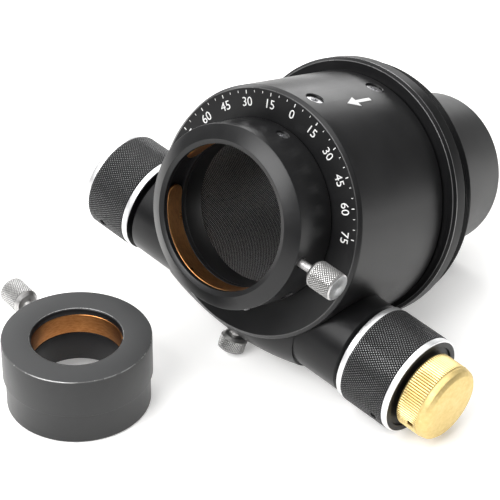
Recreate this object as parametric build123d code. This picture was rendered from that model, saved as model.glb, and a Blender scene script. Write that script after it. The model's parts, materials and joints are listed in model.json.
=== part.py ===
from build123d import *
import math
import os

# Two-inch dual-speed Crayford focuser for a telescope, with its loose 2 inch to 1.25 inch eyepiece adapter.
# Every piece of the focuser is drawn in its optical frame: Y runs along the optical axis from the eyepiece side
# to the telescope side, X runs along the focusing shaft towards the fine knob, Z is up out of the body, and the
# origin is where the optical axis meets the front of the eyepiece holder. The focuser is then laid down as it
# rests on a table, on its rear thread, the fine-side coarse knob and the lock screw, with +Z up and the table at
# z = 0. Millimetres.

# ---- standard interfaces
EYEPIECE_R = 25.45          # 2 inch eyepiece bore, 50.9 mm
FILTER_R, FILTER_H = 23.6, 4.8  # recess for a 2 inch filter under the adapter
SMALL_R = 15.95             # 1.25 inch eyepiece bore, 31.9 mm
BARREL_R = 25.4             # 2 inch barrel, 50.8 mm

# ---- eyepiece holder
HOLDER_R = 32.2
HOLDER_LEN = 19.4
BAND_Y0, BAND_Y1 = 2.0, 9.6         # brass compression band along the axis
BAND_R0, BAND_R1 = 25.5, 26.5
SCREW_Y = 5.8                       # plane of the holder thumbscrew

# ---- drawtube
TUBE_R, TUBE_BORE = 28.9, 26.4
TUBE_Y0, TUBE_Y1 = 12.0, 131.1
TRAVEL = 45.0
FLAT_Z = -27.4                      # flat under the tube for the drive strip

# ---- drum
DRUM_R, DRUM_BORE = 43.4, 37.5
DRUM_Y0, DRUM_Y1 = 19.9, 70.4
KEEL_R, KEEL_Z = 44.2, -2.0         # the drum is slightly fuller below
TUBE_HOLE = 29.7

# ---- rear flange with the telescope thread
FLANGE_R, THREAD_R = 48.0, 46.2
FLANGE_Y1, THREAD_Y1 = 78.0, 85.2

# ---- focusing shaft
SY, SZ = 39.5, -31.5                # axis of the shaft: y and z
SHAFT_R = 3.0
CROSS_R, CROSS_X = 17.5, 50.4       # cross tube
SAG = 5.5                           # how much deeper the middle of the cross housing is
SEAM_X = 30.5

# ---- knobs
KNOB_R, RIM_R = 18.5, 18.2
KNOB_IN, KNOB_OUT = 51.4, 74.3
LEFT_IN, LEFT_OUT = -51.9, -73.9
FINE_R, FINE_X0, FINE_X1 = 14.1, 75.0, 88.0

# ---- adapter
ADAPT_R, ADAPT_H, ADAPT_STEP = 26.3, 26.9, 12.0

# ---- how it rests: the table's normal in the optical frame
N = Vector(-0.1348, -0.3047, 0.9429).normalized()
REST = 69.80                        # height of the optical origin above the table
YR = (Vector(0, 1, 0) - N * N.Y).normalized()
XR = YR.cross(N)


def row(v):
    """Optical-frame vector to row-frame vector."""
    return Vector(XR.dot(v), YR.dot(v), N.dot(v))


def cyl_y(r, y0, y1, x=0.0, z=0.0):
    return Plane(origin=(x, y0, z), x_dir=(1, 0, 0), z_dir=(0, 1, 0)) * Cylinder(r, y1 - y0, align=(Align.CENTER, Align.CENTER, Align.MIN))


def cyl_x(r, x0, x1, y=SY, z=SZ):
    return Plane(origin=(x0, y, z), x_dir=(0, 1, 0), z_dir=(1, 0, 0)) * Cylinder(r, x1 - x0, align=(Align.CENTER, Align.CENTER, Align.MIN))


def cyl_z(r, z0, z1, x=0.0, y=0.0):
    return Pos(x, y, z0) * Cylinder(r, z1 - z0, align=(Align.CENTER, Align.CENTER, Align.MIN))


def along(origin, direction, r, length):
    """Cylinder from origin along direction."""
    return Plane(origin=origin, z_dir=direction) * Cylinder(r, length, align=(Align.CENTER, Align.CENTER, Align.MIN))


def box(x0, x1, y0, y1, z0, z1):
    return Pos((x0 + x1) / 2, (y0 + y1) / 2, (z0 + z1) / 2) * Box(x1 - x0, y1 - y0, z1 - z0)


def rev_y(points):
    """Solid of revolution about the optical axis from (radius, y) points."""
    return revolve(make_face(Polyline(*[(r, y, 0) for r, y in points], close=True)), Axis.Y, 360)


def rev_x(points):
    """Solid of revolution about the shaft axis from (x, radius) points."""
    return Pos(0, SY, SZ) * revolve(make_face(Polyline(*[(x, r, 0) for x, r in points], close=True)), Axis.X, 360)


def rev_z(points):
    """Solid of revolution about Z from (radius, z) points."""
    return revolve(make_face(Polyline(*[(r, 0, z) for r, z in points], close=True)), Axis.Z, 360)


def radial(deg):
    """Outward direction round the optical axis, degrees from up towards +X."""
    t = math.radians(deg)
    return Vector(math.sin(t), 0, math.cos(t))


def thumbscrew(origin, direction, tip, neck, head, neck_r=1.5, head_r=5.0):
    """Knurled thumbscrew on an axis: threaded neck from tip to neck, head from neck to head, as distances."""
    pl = Plane(origin=origin, z_dir=direction)
    shape = revolve(make_face(Polyline((0, 0, tip), (neck_r - 0.3, 0, tip), (neck_r, 0, tip + 0.3), (neck_r, 0, neck), (head_r - 1.3, 0, neck),
                                       (head_r, 0, neck + 1.3), (head_r, 0, head - 0.8), (head_r - 0.8, 0, head), (0, 0, head), close=True)), Axis.Z, 360)
    return pl * shape


def grub(origin, direction, r, y0, y1, af=0.55):
    """Socket set screw between two distances along its axis, with its hexagon socket at the outer end."""
    pl = Plane(origin=origin, z_dir=direction)
    body = Pos(0, 0, y0) * Cylinder(r, y1 - y0, align=(Align.CENTER, Align.CENTER, Align.MIN))
    socket = Pos(0, 0, y1 - 1.2) * extrude(RegularPolygon(r * af, 6), 1.4)
    return pl * (body - socket)


pieces = {}
O = (0, 0, 0)

# ============ eyepiece holder
holder = rev_y([(EYEPIECE_R, 0), (27.2, -0.6), (HOLDER_R, 2.2), (HOLDER_R, HOLDER_LEN - 0.4), (HOLDER_R - 0.4, HOLDER_LEN), (28.95, HOLDER_LEN),
                (28.95, 11.8), (EYEPIECE_R, 11.8), (EYEPIECE_R, BAND_Y1 + 0.1), (26.9, BAND_Y1 + 0.1), (26.9, BAND_Y0 - 0.1), (EYEPIECE_R, BAND_Y0 - 0.1)])
holder -= along((25, SCREW_Y, 0), (1, 0, 0), 1.55, 10)
SET_ANGLES = (4.8, 124.8, 244.8)
for deg in SET_ANGLES:
    holder -= along((0, 14.6, 0), radial(deg), 2.1, 40)
PIN_DEG = 148.0
holder -= along((0, 7.6, 0), radial(PIN_DEG), 1.0, 40)
pieces["eyepiece_holder"] = holder

band = rev_y([(BAND_R0, BAND_Y0), (BAND_R1, BAND_Y0), (BAND_R1, BAND_Y1), (BAND_R0, BAND_Y1)])
gap_mid = Rot(0, -81.5, 0) * (box(-6.1, 6.1, 0, 12, 20, 30))
band -= gap_mid
pieces["holder_brass_band"] = band

pieces["holder_thumbscrew"] = thumbscrew((0, SCREW_Y, 0), (1, 0, 0), 26.6, 37.8, 48.8)
pieces["holder_set_screws"] = Compound(children=[grub((0, 14.6, 0), radial(d), 2.1, 28.95, 31.5) for d in SET_ANGLES]
                                       + [grub((0, 7.6, 0), radial(PIN_DEG), 1.0, 27.2, 33.0)])

# ============ drawtube
tube = rev_y([(EYEPIECE_R, TUBE_Y0), (TUBE_R, TUBE_Y0), (TUBE_R, TUBE_Y1 - 0.5), (TUBE_R - 0.5, TUBE_Y1), (TUBE_BORE + 0.4, TUBE_Y1), (TUBE_BORE, TUBE_Y1 - 0.4),
              (TUBE_BORE, 20.3), (EYEPIECE_R, 20.3)])
tube -= box(-12, 12, 28, 112, -40, FLAT_Z)
STOP_Y, STOP_DEG = 123.9, 205.0
tube -= along((0, STOP_Y, 0), radial(STOP_DEG), 1.25, 40)
pieces["drawtube"] = tube
pieces["drive_strip"] = box(-4.5, 4.5, 30, 94, FLAT_Z - 1.0, FLAT_Z)
stop = along((0, STOP_Y, 0) + radial(STOP_DEG) * (TUBE_BORE + 0.6), radial(STOP_DEG), 1.25, 2.4) + along((0, STOP_Y, 0) + radial(STOP_DEG) * 28.9, radial(STOP_DEG), 2.4, 1.9)
pieces["travel_stop_screw"] = stop

# ============ drum
drum = rev_y([(0, DRUM_Y0), (42.4, DRUM_Y0), (DRUM_R, 21.5), (DRUM_R, DRUM_Y1 - 0.4), (DRUM_R - 0.4, DRUM_Y1), (0, DRUM_Y1)])
keel = rev_y([(0, 20.4), (42.9, 20.4), (KEEL_R, 21.9), (KEEL_R, DRUM_Y1 - 0.4), (KEEL_R - 0.4, DRUM_Y1), (0, DRUM_Y1)])
outer_drum = drum + Pos(0, 0, KEEL_Z) * keel
cavity = cyl_y(TUBE_HOLE, DRUM_Y0 - 1, DRUM_Y0 + 8) + cyl_y(DRUM_BORE, DRUM_Y0 + 4.5, DRUM_Y1 + 1)
drum = outer_drum - cavity
CRADLE = (-18.4, 18.4, 29.0, 50.0, -41.0, -25.0)
drum -= box(*CRADLE)
drum -= cyl_x(6.5, -60, 60)
TOP_X, TOP_Y = 1.1, (28.7, 64.0)
for y in TOP_Y:
    drum -= cyl_z(1.75, 30, 50, TOP_X, y) + cyl_z(3.1, 41.0, 50, TOP_X, y)
LOCK_Y, TENSION_Y = 35.0, 44.0
drum -= cyl_z(2.05, -60, -38, 0, LOCK_Y) + cyl_z(2.0, -60, -38, 0, TENSION_Y)
SADDLE = [(sx * 25.0, SY + sy * 10.0) for sx in (-1, 1) for sy in (-1, 1)]
for x, y in SADDLE:
    drum -= cyl_z(1.5, -60, -20, x, y) + cyl_z(2.7, -31.4, -20, x, y)
FLANGE_SCREWS = [(40.2 * math.sin(math.radians(a)), 40.2 * math.cos(math.radians(a))) for a in (45, 135, 225, 315)]
for x, z in FLANGE_SCREWS:
    drum -= cyl_y(1.25, 60, 80, x, z)
pieces["drum_housing"] = drum

# ============ cross housing: a straight tube with a deeper bent middle, cut to seat on the drum
cross = cyl_x(CROSS_R, -CROSS_X, CROSS_X)
cross = chamfer(cross.edges().filter_by(GeomType.CIRCLE), 0.9)
half = SEAM_X
bend_r = (half * half + SAG * SAG) / (2 * SAG)
centre_z = SZ - SAG + bend_r
ring = Pos(0, SY, centre_z) * Rot(90, 0, 0) * Torus(bend_r, CROSS_R + 0.15)
cross = cross + (ring & box(-half, half, SY - 30, SY + 30, SZ - 40, SZ + 40))
cross -= outer_drum + cyl_y(36, 0, 90)
cross -= cyl_x(6.5, -60, 60)
cross -= cyl_z(2.05, -60, -38, 0, LOCK_Y) + cyl_z(2.0, -60, -38, 0, TENSION_Y)
for x, y in SADDLE:
    cross -= cyl_z(1.5, -44, -20, x, y)
pieces["cross_housing"] = cross
pieces["cross_housing_screws"] = Compound(children=[cyl_z(1.5, -43.5, -31.4, x, y) + cyl_z(2.6, -31.4, -28.8, x, y) - Pos(x, y, -30.4) * extrude(RegularPolygon(1.4, 6), 3) for x, y in SADDLE])

# ============ rear flange
flange = rev_y([(34, 68.8), (37.45, 68.8), (37.45, DRUM_Y1), (42.6, DRUM_Y1), (42.6, 71.4), (47.2, 71.4), (FLANGE_R, 72.4), (FLANGE_R, 77.4), (47.4, FLANGE_Y1),
                (45.2, FLANGE_Y1), (45.2, 79.0), (THREAD_R, 79.6), (THREAD_R, THREAD_Y1 - 0.6), (THREAD_R - 0.6, THREAD_Y1), (42.8, THREAD_Y1), (42.8, 76.4), (30.0, 76.4), (30.0, 72.0), (34, 72.0)])
for x, z in FLANGE_SCREWS:
    flange -= cyl_y(1.4, 60, 80, x, z)
pieces["rear_flange"] = flange
pieces["flange_screws"] = Compound(children=[cyl_y(1.25, 62, 76.4, x, z) + cyl_y(2.25, 76.4, 78.8, x, z) - Plane(origin=(x, 77.6, z), z_dir=(0, 1, 0)) * extrude(RegularPolygon(1.2, 6), 3)
                                             for x, z in FLANGE_SCREWS])

# ============ bearing carriers, bearings and pins
BR, BW, BPIN = 3.0, 2.5, 1.5
B_CENTRE = TUBE_R + BR + 0.05
B_DEG = 40.0


def sector(y, half_y, r0, r1, deg):
    ring = cyl_y(r1, y - half_y, y + half_y) - cyl_y(r0, y - half_y - 1, y + half_y + 1)
    d = math.radians(deg)
    wedge = extrude(make_face(Polyline((0, 0, 0), (60 * math.sin(-d), 0, 60 * math.cos(d)), (0, 0, 60 * math.cos(d) + 20), (60 * math.sin(d), 0, 60 * math.cos(d)), close=True)), 100, both=True)
    return ring & wedge


def bearing_plane(y, deg):
    """At the bearing's centre, z along its axle."""
    n = radial(deg)
    return Plane(origin=n * B_CENTRE + Vector(0, y, 0), x_dir=(0, 1, 0), z_dir=(n.Z, 0, -n.X))


pins = []
for label, y in (("front", TOP_Y[0]), ("rear", TOP_Y[1])):
    carrier = sector(y, 4.2, 30.2, 37.3, 56)
    for side, deg in (("left", -B_DEG), ("right", B_DEG)):
        pl = bearing_plane(y, deg)
        carrier -= pl * Box(7.0, 16.0, BW + 0.8)
        carrier -= pl * Cylinder(BPIN, 8.0)
        pins.append(pl * Cylinder(BPIN, 8.0))
        pieces[f"bearing_{label}_{side}"] = pl * (Cylinder(BR, BW) - Cylinder(BPIN + 0.05, BW + 1))
    carrier -= cyl_z(1.75, 25, 50, TOP_X, y)
    pieces[f"bearing_carrier_{label}"] = carrier
pieces["bearing_pins"] = Compound(children=pins)
pieces["carrier_screws"] = Compound(children=[cyl_z(1.75, 31.6, 41.0, TOP_X, y) + cyl_z(2.9, 41.0, 42.6, TOP_X, y) - Pos(TOP_X, y, 41.6) * extrude(RegularPolygon(1.5, 6), 2) for y in TOP_Y])

# ============ shaft cradle, bushes and its two screws
cradle = box(-18.0, 18.0, 29.5, 49.5, -40.6, -29.6)
cradle -= cyl_x(4.0, -20, 20)
cradle = cradle - box(-10.5, 10.5, SY - 4.6, SY + 4.6, -36.2, -29.0)
pieces["shaft_cradle"] = cradle
pieces["shaft_bushes"] = Compound(children=[cyl_x(4.0, x0, x0 + 7) - cyl_x(SHAFT_R + 0.03, x0 - 1, x0 + 8) for x0 in (-17.9, 10.9)])
# the lock screw's head just meets the table
hr = 5.0
hx, hy = hr * -N.X / math.hypot(N.X, N.Y), hr * -N.Y / math.hypot(N.X, N.Y)
LOCK_END = (-REST - N.X * hx - N.Y * (LOCK_Y + hy)) / N.Z
pieces["lock_thumbscrew"] = Plane(origin=(0, LOCK_Y, 0), x_dir=(1, 0, 0), z_dir=(0, 0, -1)) * revolve(make_face(Polyline(
    (0, 0, 40.7), (1.7, 0, 40.7), (2.0, 0, 41.0), (2.0, 0, 54.9), (3.9, 0, 54.9), (hr, 0, 56.0), (hr, 0, -LOCK_END - 0.15), (hr - 0.15, 0, -LOCK_END), (0, 0, -LOCK_END), close=True)), Axis.Z, 360)
pieces["tension_set_screw"] = grub((0, TENSION_Y, 0), (0, 0, -1), 2.0, 40.7, 49.5)

# ============ drive shaft and left knob
pieces["drive_shaft"] = chamfer((cyl_x(SHAFT_R, -68.0, 57.8)).edges().filter_by(GeomType.CIRCLE), 0.3)


def knob_profile(x0, x1):
    """Outer outline of a coarse knob from end to end: bare rims, knurl between."""
    s = 1 if x1 > x0 else -1
    return [(x0, RIM_R), (x0 + s * 2.1, KNOB_R), (x1 - s * 2.0, KNOB_R), (x1 - s * 0.15, RIM_R), (x1, RIM_R - 0.15)]


left = rev_x([(LEFT_IN, 0)] + knob_profile(LEFT_IN, LEFT_OUT) + [(LEFT_OUT, 15.8), (LEFT_OUT + 0.8, 15.6), (LEFT_OUT + 0.8, 0)])
left -= cyl_x(SHAFT_R, -68.0, -50)
KNOB_SET = Vector(0, -13.6, -12.5).normalized()
left -= along((-65.0, SY, SZ), KNOB_SET, 1.5, 30)
pieces["left_coarse_knob"] = left

# ============ fine side: ball reducer inside the right coarse knob
RB, RBALL = 6.5, 5.15
right = rev_x([(KNOB_IN, 14.6)] + knob_profile(KNOB_IN, KNOB_OUT) + [(KNOB_OUT, 15.8), (KNOB_OUT - 0.8, 15.6), (KNOB_OUT - 0.8, 4.0), (70.6, 4.0), (70.6, 14.6)])
right -= along((68.4, SY, SZ), KNOB_SET, 1.3, 30)
pieces["right_coarse_knob"] = right
pieces["reducer_race"] = rev_x([(44.0, 3.6), (44.0, 6.48), (50.6, 6.48), (50.6, 8.5), (52.6, 8.5), (52.6, 14.2), (69.6, 14.2), (69.6, 11.75), (55.4, 11.75), (55.4, 3.6)])
cage = rev_x([(55.8, 3.0), (55.8, 7.0), (57.2, 11.3), (70.2, 11.3), (70.2, 4.0), (74.0, 4.0), (74.0, 2.5), (70.0, 2.5), (70.0, 1.6), (58.2, 1.6), (58.2, 3.0)])
BALL_DEG = (90, 210, 330)
balls = []
for d in BALL_DEG:
    t = math.radians(d)
    n = Vector(0, math.cos(t), math.sin(t))
    c = Vector(63.5, SY, SZ) + n * RB
    cage -= Plane(origin=Vector(63.5, SY, SZ) + n * 0.5, z_dir=n) * Cylinder(RBALL + 0.15, 20, align=(Align.CENTER, Align.CENTER, Align.MIN))
    balls.append(Pos(c.X, c.Y, c.Z) * Sphere(RBALL))
pieces["ball_cage"] = cage
pieces["reducer_balls"] = Compound(children=balls)
pieces["fine_spindle"] = rev_x([(58.5, 0), (58.5, 1.3), (70.1, 1.3), (70.1, 2.4), (86.0, 2.4), (86.0, 0)])
FINE_SET = Vector(0, -11.6, -7.8).normalized()
fine = rev_x([(FINE_X0, 2.4), (FINE_X0, FINE_R - 0.5), (FINE_X0 + 0.5, FINE_R), (84.4, FINE_R), (84.8, FINE_R - 0.3), (86.0, 13.6), (87.0, 13.2), (87.6, 12.4), (FINE_X1, 11.0), (FINE_X1, 0), (86.0, 0), (86.0, 2.4)])
fine -= along((81.5, SY, SZ), FINE_SET, 1.2, 30)
pieces["fine_knob"] = fine
pieces["left_knob_set_screw"] = grub((-65.0, SY, SZ), KNOB_SET, 1.5, 3.0, 15.5)
pieces["right_knob_set_screw"] = grub((68.4, SY, SZ), KNOB_SET, 1.3, 14.7, 17.4)
pieces["fine_knob_set_screw"] = grub((81.5, SY, SZ), FINE_SET, 1.2, 2.4, 12.6)

# ============ lay the focuser down
laid = Location(Plane(origin=(0, 0, REST), x_dir=row(Vector(1, 0, 0)), z_dir=row(Vector(0, 0, 1))))
placed = {name: laid * shape for name, shape in pieces.items()}

# ============ adapter, upright on the table
ADAPT_AT = (-31.63, -40.06, 0.0)
ADAPT_DEG = 166.0
adapter = rev_z([(SMALL_R, FILTER_H), (FILTER_R, FILTER_H), (FILTER_R, 0), (24.8, 0), (BARREL_R, 0.6), (BARREL_R, ADAPT_STEP), (ADAPT_R, ADAPT_STEP), (ADAPT_R, ADAPT_H - 0.35), (ADAPT_R - 0.35, ADAPT_H), (16.4, ADAPT_H), (SMALL_R, ADAPT_H - 0.45),
                 (SMALL_R, 24.3), (17.3, 24.3), (17.3, 16.4), (SMALL_R, 16.4)])
ad = Vector(math.cos(math.radians(ADAPT_DEG)), math.sin(math.radians(ADAPT_DEG)), 0)
adapter -= along((0, 0, 20.35), ad, 1.55, 40)
a_band = rev_z([(16.0, 16.5), (17.0, 16.5), (17.0, 24.2), (16.0, 24.2)]) - Rot(0, 0, 35) * box(10, 20, -2.5, 2.5, 16, 25)
a_screw = thumbscrew((0, 0, 20.35), ad, 17.1, 33.4, 44.4)
at = Pos(*ADAPT_AT)
placed["adapter_body"] = at * adapter
placed["adapter_brass_band"] = at * a_band
placed["adapter_thumbscrew"] = at * a_screw

# ============ origin under the middle of everything
lo = [min(tuple(s.bounding_box(optimal=True).min)[i] for s in placed.values()) for i in range(3)]
hi = [max(tuple(s.bounding_box(optimal=True).max)[i] for s in placed.values()) for i in range(3)]
SHIFT = Vector(-(lo[0] + hi[0]) / 2, -(lo[1] + hi[1]) / 2, -lo[2])
placed = {name: Pos(SHIFT.X, SHIFT.Y, SHIFT.Z) * shape for name, shape in placed.items()}


def place_point(v):
    """Optical-frame point to the finished frame."""
    p = row(Vector(*v))
    return (p.X + SHIFT.X, p.Y + SHIFT.Y, p.Z + REST + SHIFT.Z)


if __name__ == "__main__":
    os.makedirs("parts", exist_ok=True)
    print("low corner", [round(v, 3) for v in lo], "high corner", [round(v, 3) for v in hi])
    print("shift", [round(v, 4) for v in tuple(SHIFT)])
    for label, v in (("optical x", (1, 0, 0)), ("optical y", (0, 1, 0)), ("optical z", (0, 0, 1))):
        print(label, [round(c, 6) for c in tuple(row(Vector(*v)))])
    for name, shape in placed.items():
        export_step(shape if isinstance(shape, Compound) else Compound(children=[shape]) if len(shape.solids()) > 1 else shape, f"parts/{name}.step")
    print(len(placed), "nodes")
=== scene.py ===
import json
import math
import random

import bmesh
import bpy
import numpy as np
from mathutils import Matrix, Vector


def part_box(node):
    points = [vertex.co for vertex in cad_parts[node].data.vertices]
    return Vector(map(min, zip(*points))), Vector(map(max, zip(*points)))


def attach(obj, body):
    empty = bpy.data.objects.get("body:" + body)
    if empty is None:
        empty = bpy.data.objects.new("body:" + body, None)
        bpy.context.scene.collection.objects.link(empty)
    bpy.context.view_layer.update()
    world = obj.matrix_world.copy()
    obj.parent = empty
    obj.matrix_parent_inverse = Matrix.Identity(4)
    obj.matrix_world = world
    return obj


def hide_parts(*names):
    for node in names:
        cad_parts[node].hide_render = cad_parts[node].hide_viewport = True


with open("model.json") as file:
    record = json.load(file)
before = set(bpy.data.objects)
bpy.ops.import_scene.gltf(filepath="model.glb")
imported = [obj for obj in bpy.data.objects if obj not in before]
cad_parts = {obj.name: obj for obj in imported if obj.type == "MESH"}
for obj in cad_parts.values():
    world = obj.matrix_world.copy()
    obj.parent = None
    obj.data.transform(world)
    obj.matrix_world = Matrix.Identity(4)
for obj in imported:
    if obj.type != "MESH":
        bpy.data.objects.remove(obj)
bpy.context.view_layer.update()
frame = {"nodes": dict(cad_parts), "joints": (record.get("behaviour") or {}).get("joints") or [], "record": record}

record = frame["record"]
joints = {j["name"]: j for j in frame["joints"]}
mounts = {m["name"]: m for m in record["mounts"]}
MM = 0.001

# ------------------------------------------------------------------ the focuser's own frame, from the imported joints
X = Vector(joints["coarse_focus"]["axis"]).normalized()
Y = -Vector(joints["drawtube_slide"]["axis"]).normalized()
Z = X.cross(Y).normalized()
Y = Z.cross(X).normalized()
SY, SZ = 39.5, -31.5
ROT = Matrix((X, Y, Z)).transposed()
ORIGIN = Vector(joints["coarse_focus"]["pos_m"]) - ROT @ Vector((0, SY * MM, SZ * MM))
OPT = Matrix.Translation(ORIGIN) @ ROT.to_4x4()
SHAFT = OPT @ Matrix.Translation((0, SY * MM, SZ * MM))
# frames for lathed pieces: local z is the axis of the lathe
AXIS_Y = Matrix(((1, 0, 0), (0, 0, 1), (0, -1, 0))).to_4x4()      # local z to optical y
AXIS_X = Matrix(((0, 0, 1), (1, 0, 0), (0, 1, 0))).to_4x4()       # local z to optical x
am = mounts["adapter_bore"]
ADAPT = Matrix.Translation((am["pos_m"][0], am["pos_m"][1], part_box("adapter_body")[0].z))


# ------------------------------------------------------------------ materials
def nodes_of(name):
    m = bpy.data.materials.new(name)
    m.use_nodes = True
    nt = m.node_tree
    b = nt.nodes["Principled BSDF"]
    return m, nt, b


USE_OBJECT = [False]


def coords(nt, scale):
    """The piece's own coordinates along its lathe axis, kept on the mesh; CAD nodes use object coordinates."""
    mp = nt.nodes.new("ShaderNodeMapping")
    mp.inputs["Scale"].default_value = scale
    if USE_OBJECT[0]:
        tc = nt.nodes.new("ShaderNodeTexCoord")
        nt.links.new(tc.outputs["Object"], mp.inputs["Vector"])
    else:
        at = nt.nodes.new("ShaderNodeAttribute")
        at.attribute_type = "GEOMETRY"
        at.attribute_name = "local"
        nt.links.new(at.outputs["Vector"], mp.inputs["Vector"])
    return mp.outputs["Vector"]


def noise(nt, vec, scale, detail=3.0, rough=0.55):
    n = nt.nodes.new("ShaderNodeTexNoise")
    n.inputs["Scale"].default_value = scale
    n.inputs["Detail"].default_value = detail
    n.inputs["Roughness"].default_value = rough
    nt.links.new(vec, n.inputs["Vector"])
    return n.outputs["Fac"]


def ramp(nt, fac, stops):
    r = nt.nodes.new("ShaderNodeValToRGB")
    e = r.color_ramp.elements
    while len(e) < len(stops):
        e.new(0.5)
    for el, (pos, col) in zip(e, stops):
        el.position = pos
        el.color = (*col, 1.0) if len(col) == 3 else col
    nt.links.new(fac, r.inputs["Fac"])
    return r.outputs["Color"]


def remap(nt, fac, lo, hi, a=0.3, b=0.7):
    m = nt.nodes.new("ShaderNodeMapRange")
    m.inputs["From Min"].default_value = a
    m.inputs["From Max"].default_value = b
    m.inputs["To Min"].default_value = lo
    m.inputs["To Max"].default_value = hi
    nt.links.new(fac, m.inputs["Value"])
    return m.outputs["Result"]


def bump(nt, b, height, distance, strength=1.0):
    n = nt.nodes.new("ShaderNodeBump")
    n.inputs["Distance"].default_value = distance
    n.inputs["Strength"].default_value = strength
    nt.links.new(height, n.inputs["Height"])
    nt.links.new(n.outputs["Normal"], b.inputs["Normal"])


def anodised(name, dark, light, rough=(0.34, 0.44), grain=0.000012, spec=0.5, metal=0.0, blotch=60.0, lines=None):
    """Dyed, blasted aluminium: fine grain in the surface, faint cloudiness in the dye, optional turning lines."""
    m, nt, b = nodes_of(name)
    v = coords(nt, (1, 1, 1))
    cloud = noise(nt, v, blotch, 4.0, 0.6)
    speck = noise(nt, v, 4200.0, 2.0, 0.6)
    mixf = nt.nodes.new("ShaderNodeMath"); mixf.operation = "MULTIPLY_ADD"
    mixf.inputs[1].default_value = 0.55
    nt.links.new(speck, mixf.inputs[0]); nt.links.new(remap(nt, cloud, 0.0, 0.45), mixf.inputs[2])
    nt.links.new(ramp(nt, mixf.outputs[0], [(0.2, dark), (0.75, light)]), b.inputs["Base Color"])
    nt.links.new(remap(nt, cloud, rough[0], rough[1]), b.inputs["Roughness"])
    b.inputs["Metallic"].default_value = metal
    b.inputs["Specular IOR Level"].default_value = spec
    h = speck
    if lines:
        lv = coords(nt, lines)
        h = noise(nt, lv, 1.0, 2.0, 0.5)
    bump(nt, b, h, grain)
    return m


def turned(name, dark, light, rough, stretch, distance, metal=1.0, coat=0.0):
    """Bare or plated metal, cut on a lathe: fine lines along the cut and small changes in polish."""
    m, nt, b = nodes_of(name)
    lv = coords(nt, stretch)
    line = noise(nt, lv, 1.0, 3.0, 0.6)
    v = coords(nt, (1, 1, 1))
    cloud = noise(nt, v, 180.0, 3.0, 0.6)
    nt.links.new(ramp(nt, line, [(0.25, dark), (0.75, light)]), b.inputs["Base Color"])
    nt.links.new(remap(nt, cloud, rough[0], rough[1]), b.inputs["Roughness"])
    b.inputs["Metallic"].default_value = metal
    b.inputs["Coat Weight"].default_value = coat
    bump(nt, b, line, distance)
    return m


BLACK = anodised("satin_black", (0.006, 0.006, 0.0065), (0.012, 0.012, 0.0125), (0.28, 0.36), spec=0.34)
BLACK_FACE = anodised("face_black", (0.005, 0.005, 0.0055), (0.010, 0.010, 0.0105), (0.36, 0.44), spec=0.28)
BLACK_BORE = anodised("bore_black", (0.004, 0.004, 0.0045), (0.009, 0.009, 0.0095), (0.30, 0.40), spec=0.25, lines=(30, 30, 9000))
BLACK_TUBE = anodised("tube_black", (0.008, 0.008, 0.0085), (0.015, 0.015, 0.0155), (0.34, 0.42), spec=0.36)
BLACK_RING = anodised("ring_black", (0.004, 0.004, 0.0045), (0.008, 0.008, 0.0085), (0.34, 0.42), spec=0.14)
# lighter chamfer colour: partly bare cut edge, partly a painted highlight for the bright double line on the flange's
# edges
CHAMFER_EDGE_HIGHLIGHT = anodised("chamfer_bare_edge_and_painted_highlight", (0.16, 0.16, 0.162), (0.32, 0.32, 0.32), (0.20, 0.30), spec=0.6, metal=0.6)
# painted highlight: a lighter grey run along the drum's front rim stands in for the glint on that edge
PAINTED_RIM_HIGHLIGHT = anodised("painted_rim_highlight", (0.030, 0.030, 0.031), (0.070, 0.070, 0.07), (0.22, 0.32), spec=0.6, metal=0.2)
KNURL = anodised("knurl_black", (0.008, 0.008, 0.009), (0.018, 0.018, 0.019), (0.30, 0.40), spec=0.4, blotch=300.0)
# knurl tops: lighter grey for worn tips, and partly a painted glint
KNURL_TIP_WEAR_GLINT = anodised("knurl_tip", (0.09, 0.09, 0.09), (0.21, 0.21, 0.21), (0.26, 0.38), blotch=900.0, metal=0.5)
# painted glint: light grey tips on the black bore texture stand in for the sparkle of light on them
TEXTURE_TIP_GLINT = anodised("tube_texture_painted_glint", (0.38, 0.38, 0.385), (0.64, 0.64, 0.64), (0.36, 0.46), blotch=900.0, metal=0.4)
GREY = anodised("adapter_grey", (0.009, 0.0095, 0.010), (0.020, 0.0205, 0.021), (0.36, 0.46), spec=0.44, grain=0.000010)
# lighter chamfer colour: partly worn bare edge, partly a painted highlight line
GREY_EDGE_WEAR_HIGHLIGHT = anodised("adapter_worn_edge_and_painted_highlight", (0.10, 0.10, 0.10), (0.30, 0.30, 0.295), (0.22, 0.32), spec=0.6, metal=0.5, blotch=220.0)
GREY_TOP = anodised("adapter_top", (0.010, 0.0105, 0.011), (0.020, 0.0205, 0.021), (0.42, 0.52), spec=0.44, grain=0.000006)
GREY_BORE = anodised("adapter_bore_black", (0.005, 0.005, 0.006), (0.010, 0.010, 0.011), (0.30, 0.40), spec=0.3, lines=(30, 30, 9000))
RIM = turned("bare_rim", (0.78, 0.78, 0.79), (0.94, 0.94, 0.94), (0.34, 0.46), (40, 40, 16000), 0.000004)
# bare cut edge, light grey so that it also serves as a painted highlight line on the drum's rear rim
BARE_EDGE_HIGHLIGHT = turned("bare_edge_line_and_painted_highlight", (0.50, 0.50, 0.51), (0.62, 0.62, 0.62), (0.24, 0.30), (400, 400, 400), 0.000001)
PLATED = turned("plated_bright", (0.46, 0.45, 0.445), (0.70, 0.69, 0.68), (0.34, 0.46), (300, 300, 7000), 0.000004)
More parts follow.
